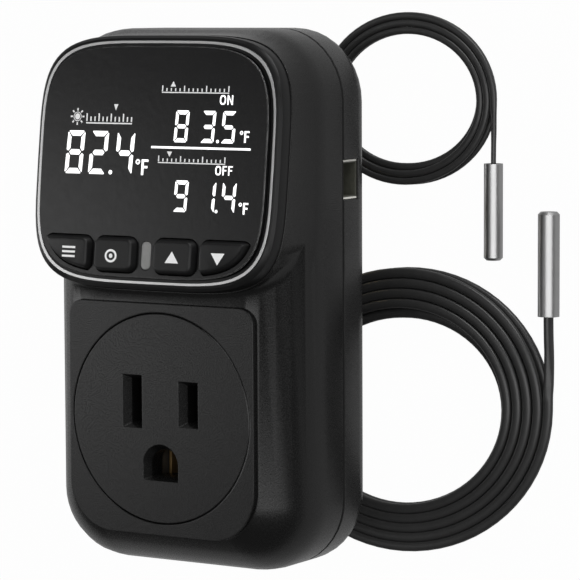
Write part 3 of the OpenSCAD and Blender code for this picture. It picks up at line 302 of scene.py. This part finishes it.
def soften(piece):
    """Smooth shading, with the sharper edges left crisp."""
    for face in piece.data.polygons:
        face.use_smooth = True
    weld = piece.modifiers.new("weld", "WELD")
    weld.merge_threshold = WELD_WITHIN
    split = piece.modifiers.new("crisp_edges", "EDGE_SPLIT")
    split.split_angle = CRISP_FROM


for name, piece in nodes.items():
    finish = node_finish.get(name, slot_finish[slots[name]])
    piece.data.materials.clear()
    piece.data.materials.append(finish.material)
    if piece.data.attributes.get("custom_normal"):
        piece.data.attributes.remove(piece.data.attributes["custom_normal"])
    soften(piece)


def add_piece(name, points, faces, finish, body="root", smooth=True):
    """A mesh whose points are in millimetres, riding on that body."""
    mesh = bpy.data.meshes.new(name)
    mesh.from_pydata([tuple(MM * c for c in p) for p in points], [], faces)
    mesh.validate()
    mesh.update()
    mesh.materials.append(finish.material)
    piece = bpy.data.objects.new(name, mesh)
    bpy.context.scene.collection.objects.link(piece)
    if smooth:
        for face in mesh.polygons:
            face.use_smooth = True
    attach(piece, body)
    return piece


def bent(value, power):
    """The value to that power, with its sign kept."""
    return math.copysign(abs(value) ** power, value)


def oval(x, t, rx, rt, n, power=1.0):
    """n points round an ellipse, or round a squarer outline where the power is below 1."""
    return [(x + rx * bent(math.cos(a), power), t + rt * bent(math.sin(a), power))
            for a in (i * math.tau / n for i in range(n))]


def band(n, start=0):
    """The faces between two rings of n points each, the first of them beginning at start."""
    return [(start + i, start + (i + 1) % n, start + n + (i + 1) % n, start + n + i)
            for i in range(n)]


# The display's plane and the heights over it, as the CAD has them, in millimetres
TILT = math.radians(6.7)
DISPLAY = Matrix.Translation((0, 26.475, 51.6)) @ Matrix.Rotation(-TILT, 4, "X")
LENS_TOP = 1.2
LENS_HALF = (25.26, 21.66)
LENS_POWER = 2 / 4.4
KEY_TOP = 2.7
PRINT_RISE = 0.02
MARK_RISE = 0.015

FIGURE_SLANT = math.tan(math.radians(3))
SEGMENTS = {"0": "abcdef", "1": "bc", "2": "abged", "3": "abgcd", "4": "fgbc", "5": "afgcd",
            "6": "afgedc", "7": "abc", "8": "abcdefg", "9": "abcdfg"}


def on_display(points, height):
    return [DISPLAY @ Vector((x, t, height)) for x, t in points]


class Flat:
    """Thin shapes laid on the display, gathered into one piece. x is across it and t up it."""

    def __init__(self, height):
        self.height, self.points, self.faces = height, [], []

    def shape(self, outline, hole=()):
        """A filled outline, or the band between it and a hole of as many points."""
        start, n = len(self.points), len(outline)
        self.points += on_display([*outline, *hole], self.height)
        self.faces += band(n, start) if hole else [tuple(range(start, start + n))]

    def box(self, x0, t0, x1, t1):
        self.shape([(x0, t0), (x1, t0), (x1, t1), (x0, t1)])

    def ring(self, x, t, rx, rt, line, n=40):
        self.shape(oval(x, t, rx, rt, n), oval(x, t, rx - line, rt - line, n))

    def dot(self, x, t, r, n=24):
        self.shape(oval(x, t, r, r, n))

    def line(self, ax, at, bx, bt, width):
        along = Vector((bx - ax, bt - at)).normalized() * width / 2
        off = Vector((-along.y, along.x))
        a, b = Vector((ax, at)), Vector((bx, bt))
        self.shape([a - off, b - off, b + off, a + off])

    def scale(self, x, t, count, step, width, every, tall, short, line):
        """Upright ticks, a taller one at every so many, and the line along their feet."""
        for i in range(count):
            self.box(x + i * step, t, x + width + i * step, t + (short if i % every else tall))
        self.box(x, t + line[0], x + width + (count - 1) * step, t + line[1])

    def light(self, x, t, rays=8):
        """A round light with rays."""
        self.ring(x, t, 0.9, 0.9, 0.14)
        self.dot(x, t, 0.58)
        for a in (i * math.tau / rays for i in range(rays)):
            c, s = math.cos(a), math.sin(a)
            self.line(x + 1.1 * c, t + 1.1 * s, x + 1.6 * c, t + 1.6 * s, 0.3)

    def letter(self, kind, x, t, w, h, s):
        """F, N or O in strokes of width s, with its lower left corner at x, t."""
        if kind == "F":
            self.box(x, t, x + s, t + h)
            self.box(x + s, t + h - s * 0.85, x + w, t + h)
            self.box(x + s, t + h * 0.44, x + w * 0.9, t + h * 0.44 + s * 0.85)
        elif kind == "N":
            self.box(x, t, x + s, t + h)
            self.box(x + w - s, t, x + w, t + h)
            self.shape([(x + s, t + h), (x + s, t + h - s * 1.7),
                        (x + w - s, t), (x + w - s, t + s * 1.7)])
        elif kind == "O":
            self.shape(*(oval(x + w / 2, t + h / 2, w / 2 - inset, h / 2 - inset, 36, 0.75)
                         for inset in (0, s)))

    def degrees(self, x, t, h, s):
        """A degree ring and an F, with their lower left corner at x, t."""
        self.ring(x + h * 0.16, t + h * 0.84, h * 0.17, h * 0.17, s * 0.55, 28)
        self.letter("F", x + h * 0.45, t, h * 0.52, h, s)

    def number(self, text, t, w, h, s, places):
        """Seven-segment figures and points in strokes of width s, each at its own place."""
        gap, middle, bar = s * 0.25, h / 2, s * 1.2
        upper = [(0, h - gap - s * 0.2), (s * 0.2, h - gap - s * 0.1), (s, h - bar - gap),
                 (s, middle + bar / 2 + gap), (s / 2, middle + gap),
                 (0, middle + gap + s * 0.25)]
        top = [(s * 0.3, h - s * 0.2), (s * 0.45, h), (w - s * 0.45, h),
               (w - s * 0.3, h - s * 0.2), (w - s - gap, h - bar), (s + gap, h - bar)]
        segments = {
            "a": top,
            "b": [(w - p, q) for p, q in upper],
            "c": [(w - p, h - q) for p, q in upper],
            "d": [(p, h - q) for p, q in top],
            "e": [(p, h - q) for p, q in upper],
            "f": upper,
            "g": [(s / 2 + gap, middle), (s + gap, middle + bar / 2),
                  (w - s - gap, middle + bar / 2), (w - s / 2 - gap, middle),
                  (w - s - gap, middle - bar / 2), (s + gap, middle - bar / 2)],
        }
        for figure, at in zip(text, places):
            if figure == ".":
                self.dot(at + s * 0.45, t + s * 0.5, s * 0.5)
                continue
            for segment in SEGMENTS[figure]:
                self.shape([(at + p + q * FIGURE_SLANT, t + q) for p, q in segments[segment]])

    def make(self, name, finish, body="root"):
        add_piece(name, self.points, self.faces, finish, body, smooth=False)


# Each value's figures, foot, width, height, stroke and places, and its degree sign's place,
# height and stroke
VALUES = (
    ("82.4", -2.55, 4.0, 8.15, 0.85, (-19.8, -14.35, -9.55, -8.35), (-3.5, -2.5, 2.95, 0.52)),
    ("83.5", 3.8, 3.0, 5.95, 0.64, (4.7, 10.6, 14.2, 15.1), (19.3, 4.0, 2.15, 0.4)),
    ("91.4", -9.1, 3.0, 5.85, 0.64, (5.4, 11.5, 14.75, 15.95), (19.9, -9.15, 2.15, 0.4)),
)
# The letters of ON and OFF, each with its place, width, height and stroke
LETTERS = (
    ("O", 14.5, 10.9, 1.35, 1.8, 0.3), ("N", 16.15, 10.9, 1.25, 1.8, 0.3),
    ("O", 14.35, -2.1, 1.3, 1.75, 0.3), ("F", 15.95, -2.1, 0.95, 1.75, 0.3),
    ("F", 17.2, -2.1, 0.95, 1.75, 0.3),
)
figures = Flat(LENS_TOP + PRINT_RISE)
for text, foot, width, height, stroke, places, degree_sign in VALUES:
    figures.number(text, foot, width, height, stroke, places)
    figures.degrees(*degree_sign)
for letter in LETTERS:
    figures.letter(*letter)
figures.box(-0.2, 2.6, 21.8, 3.0)
figures.make("display_figures", lit_white)

WIDE_SCALE = {"count": 12, "step": 0.93, "width": 0.3, "every": 3,
              "tall": 1.5, "short": 0.9, "line": (-0.45, -0.2)}
FINE_SCALE = {"count": 16, "step": 0.98, "width": 0.26, "every": 5,
              "tall": 1.1, "short": 0.6, "line": (-0.3, -0.1)}
signs = Flat(LENS_TOP + PRINT_RISE)
signs.light(-17.45, 8.25)
signs.scale(-15.4, 7.4, **WIDE_SCALE)
signs.shape([(-9.2, 10.7), (-8.2, 10.7), (-8.7, 9.5)])
signs.scale(1.5, 13.25, **FINE_SCALE)
signs.shape([(3.4, 14.15), (4.6, 14.15), (4.0, 15.15)])
signs.scale(1.5, 0.15, **FINE_SCALE)
signs.shape([(4.0, 1.05), (4.6, 2.05), (3.4, 2.05)])
signs.make("display_signs", white_print)


def lens_edge(n=144):
    """The lens's edge, a narrow slope all round, coloured pale grey as a painted highlight."""
    def outline(inset):
        return [(x - dx, t - dt) for (x, t), (dx, dt)
                in zip(oval(0, 0, *LENS_HALF, n, LENS_POWER), oval(0, 0, inset, inset, n))]

    foot = on_display(outline(-0.015), LENS_TOP - 0.14)
    top = on_display(outline(0.14), LENS_TOP + 0.012)
    add_piece("lens_edge", foot + top, band(n), edge_highlight_grey)


lens_edge()

marks = {key: Flat(KEY_TOP + MARK_RISE) for key in ("set", "function", "up", "down")}
for bar_foot in (-18.45, -17.6, -16.75):
    marks["set"].box(-18.2, bar_foot, -15.2, bar_foot + 0.4)
marks["function"].ring(-6.95, -17.85, 1.35, 1.25, 0.42)
marks["function"].dot(-6.95, -17.85, 0.42)
marks["up"].shape([(5.3, -18.7), (8.3, -18.7), (6.8, -16.5)])
marks["down"].shape([(15.4, -16.5), (16.9, -18.7), (18.4, -16.5)])
for key, mark in marks.items():
    mark.make(f"{key}_mark", white_print, f"{key}_button")


# Sensor cables, on the CAD's routes in millimetres. The long tail has one point less than
# there, so that it doesn't double back. A tail turns on its side over its first points.
LOOP_POINTS = 72
LAYER_GAP = 0.43
EDGE_POWER = 0.8
TAIL_LEAN = math.radians(60)
TAIL_LEAN_POINTS = 24


def smooth_route(points, per_span=6):
    """A curve through the points, with more of them along it."""
    ends = [points[0] * 2 - points[1], *points, points[-1] * 2 - points[-2]]
    route = []
    for a, b, c, d in zip(ends, ends[1:], ends[2:], ends[3:]):
        for i in range(per_span):
            u = i / per_span
            route.append(0.5 * (2 * b + (c - a) * u + (2 * a - 5 * b + 4 * c - d) * u * u
                                + (3 * b - a - 3 * c + d) * u * u * u))
    return [*route, points[-1]]


class Coil:
    """A wound lead: in on the lower layer, up in a half turn, and out on the upper layer."""

    def __init__(self, at, radii, tilt, drift, height, pitch, turns, turn):
        """An ellipse that leans by tilt, of a lead of that height, with so many turns in each
        layer. Each turn inwards is smaller by pitch and its middle moves by drift. turn is 1
        or -1, the way round."""
        self.lead_out = Vector((0, turn * height, 0))
        climb_middle = turns + 0.25
        lean = math.radians(tilt)
        first = math.atan(-radii[1] / radii[0] * math.tan(lean))
        c, s = math.cos(lean), math.sin(lean)
        self.route = []
        for i in range(round((2 * turns + 0.5) * LOOP_POINTS) + 1):
            t = i / LOOP_POINTS
            inset = climb_middle - abs(t - climb_middle)
            rise = max(0, min(1, 2 * (t - turns)))
            a = math.pi + first + turn * math.tau * t
            x = (radii[0] - inset * pitch[0]) * math.cos(a)
            y = (radii[1] - inset * pitch[1]) * math.sin(a)
            self.route.append(Vector((
                at[0] + inset * drift[0] + x * c - y * s,
                at[1] + inset * drift[1] + x * s + y * c,
                height / 2 + (height + LAYER_GAP) * rise * rise * (3 - 2 * rise))))


def flat_tube(name, route, leans, width, height, finish, sides=20):
    """A lead with a flat, round-edged section that leans by an angle at each route point."""
    points, faces, n = [], [], len(route)
    section = oval(0, 0, 1, 1, sides, EDGE_POWER)
    for i, centre in enumerate(route):
        along = (route[min(i + 1, n - 1)] - route[max(i - 1, 0)]).normalized()
        flat = Vector((0, 0, 1)).cross(along).normalized()
        side = flat * math.cos(leans[i]) + along.cross(flat) * math.sin(leans[i])
        up = along.cross(side)
        for across, over in section:
            points.append(centre + side * across * width / 2 + up * over * height / 2)
    for i in range(n - 1):
        faces += band(sides, i * sides)
    faces += [tuple(range(sides))[::-1], tuple(range((n - 1) * sides, n * sides))]
    return add_piece(name, points, faces, finish)


def cable(lead, coil, height, width, plug, leaving, lead_mids, probe, arriving, tail_mids):
    """A flat lead, leaving its plug's mouth and arriving in its probe's, with its coil between."""
    plug, leaving, probe, arriving = map(Vector, (plug, leaving, probe, arriving))
    start, end = coil.route[0] + coil.lead_out, coil.route[-1] + coil.lead_out
    first = smooth_route([plug, plug + leaving * height, *map(Vector, lead_mids),
                          start + coil.lead_out, start])
    last = smooth_route([end, end + coil.lead_out, *map(Vector, tail_mids),
                         probe - arriving * height, probe])
    route = first + coil.route + last
    leans = [0] * (len(first) + len(coil.route))
    leans += [min(1, i / TAIL_LEAN_POINTS) * TAIL_LEAN for i in range(len(last))]
    piece = flat_tube(f"{lead}_cable", route, leans, width, height, slot_finish["cable"])
    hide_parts(f"{lead}_lead", f"{lead}_coil", f"{lead}_tail")
    measured = sum((b - a).length for a, b in zip(route, route[1:]))
    print(lead, "cable", round(measured, 1), "mm")
    route[0] * MM
    [p * MM for p in route]


cable("short",
      Coil(at=(25.5, 36.9), radii=(19.5, 16.9), tilt=3, drift=(0, 0), height=1.0,
           pitch=(1.48, 1.43), turns=2.5, turn=-1),
      height=1.0, width=1.42, plug=(-12.2, 26, 2.05), leaving=(1, 0, 0),
      lead_mids=[(-9, 26, 1.7), (-7, 26.1, 1.1), (-4.5, 26.3, 0.6), (-2.2, 26.7, 0.5),
                 (0, 27.5, 0.5), (2, 28.7, 0.5), (3.8, 30.2, 0.5), (5.1, 31.9, 0.5),
                 (5.8, 33.6, 0.5)],
      probe=(45, 25, 1.85), arriving=(0, -1, 0),
      tail_mids=[(45, 33.6, 1.85), (45, 31, 1.75), (45, 28.5, 1.8)])
cable("long",
      Coil(at=(25.33, -23.6), radii=(32.1, 28.1), tilt=10.5, drift=(-0.14, -0.07), height=1.43,
           pitch=(2.09, 1.935), turns=4.5, turn=1),
      height=1.43, width=1.98, plug=(-11, -2.8, 2.05), leaving=(0, -1, 0),
      lead_mids=[(-10.9, -6.5, 1.6), (-10.6, -9, 1.1), (-10.1, -11.5, 0.8), (-9.3, -13.8, 0.72),
                 (-8.4, -16.1, 0.72), (-7.5, -18.5, 0.72), (-6.9, -20.7, 0.72)],
      probe=(57.12, -4, 2.1), arriving=(0, 1, 0),
      tail_mids=[(57.27, -17, 2.2), (57.22, -14, 2), (57.17, -11, 1.9), (57.13, -8.5, 2)])


# Floor, lamps and camera, in metres, watts and degrees
FLOOR_HALF = 3.0
FLOOR_Z = -0.0003
WHITE = (1, 1, 1, 1)
SKY_LIGHT = 0.13
LAMPS_AIM = Vector((0, 0, 0.04))
LAMPS = {
    "front_box": ((-0.47, -0.06, 0.8), (0.5, 0.8), 0.3),
    "right_box": ((0.48, 0, 0.85), (0.52, 1.2), 5.0),
    "left_box": ((-0.82, 0, 0.47), (0.36, 1.0), 2.2),
    "top_box": ((0.34, 0.68, 0.28), (0.6, 0.4), 4.2),
}
CAMERA_TURN = (31.88, 5.35, -0.26)
CAMERA_AIM = Vector((0.02898, 0.003785, 0.0506))
CAMERA_AWAY = 0.56385
SENSOR_MM = 36
FOCAL_MM = 191.4


def floor():
    """A pale floor that shows as white to the camera and in part to reflections."""
    r, z = FLOOR_HALF, FLOOR_Z
    mesh = bpy.data.meshes.new("floor")
    mesh.from_pydata([(-r, -r, z), (r, -r, z), (r, r, z), (-r, r, z)], [], [(0, 1, 2, 3)])
    plane = bpy.data.objects.new("floor", mesh)
    bpy.context.scene.collection.objects.link(plane)
    pale = Finish("floor_white", grey(0.42), 0.9)
    rays = pale.node("ShaderNodeLightPath", {}).outputs
    seen = Mask(pale, rays["Is Camera Ray"]) * 0.98 + Mask(pale, rays["Is Glossy Ray"]) * 0.27
    glow = pale.node("ShaderNodeEmission", {}, Color=WHITE, Strength=1.0)
    both = pale.node("ShaderNodeMixShader", {}, seen, pale.shader.outputs[0], glow.outputs[0])
    pale.join(both.outputs[0], pale.tree.nodes["Material Output"].inputs["Surface"])
    mesh.materials.append(pale.material)


def world():
    """A dim white sky that shows as full white to the camera."""
    made = bpy.data.worlds.new("studio")
    sky = Shading(made)
    lighting = sky.node("ShaderNodeBackground", {}, WHITE, SKY_LIGHT)
    shown = sky.node("ShaderNodeBackground", {}, WHITE)
    rays = sky.node("ShaderNodeLightPath", {}).outputs
    both = sky.node("ShaderNodeMixShader", {}, rays["Is Camera Ray"], lighting.outputs[0],
                    shown.outputs[0])
    sky.join(both.outputs[0], sky.tree.nodes["World Output"].inputs["Surface"])
    bpy.context.scene.world = made


def lamp(name, at, size, watts):
    light = bpy.data.lights.new(name, "AREA")
    light.shape, light.energy = "RECTANGLE", watts
    light.size, light.size_y = size
    holder = bpy.data.objects.new(name, light)
    holder.location = at
    holder.rotation_euler = (LAMPS_AIM - Vector(at)).to_track_quat("-Z", "Y").to_euler()
    bpy.context.scene.collection.objects.link(holder)


def camera():
    """Turned right and up by so many degrees from the front, and rolled a little."""
    yaw, pitch, roll = map(math.radians, CAMERA_TURN)
    back = Vector((math.sin(yaw) * math.cos(pitch), math.sin(pitch),
                   math.cos(yaw) * math.cos(pitch)))
    level = Vector((0, 1, 0)).cross(back).normalized()
    upright = back.cross(level)
    right = level * math.cos(roll) + upright * math.sin(roll)
    up = upright * math.cos(roll) - level * math.sin(roll)
    data = bpy.data.cameras.new("camera")
    data.sensor_width, data.lens, data.clip_start = SENSOR_MM, FOCAL_MM, 0.01
    seen = bpy.data.objects.new("camera", data)
    turned = Matrix((right, up, back)).transposed().to_4x4()
    seen.matrix_world = Matrix.Translation(CAMERA_AIM + back * CAMERA_AWAY) @ turned
    bpy.context.scene.collection.objects.link(seen)
    bpy.context.scene.camera = seen


floor()
world()
for name, (at, size, watts) in LAMPS.items():
    lamp(name, at, size, watts)
camera()
bpy.context.scene.view_settings.view_transform = "Standard"
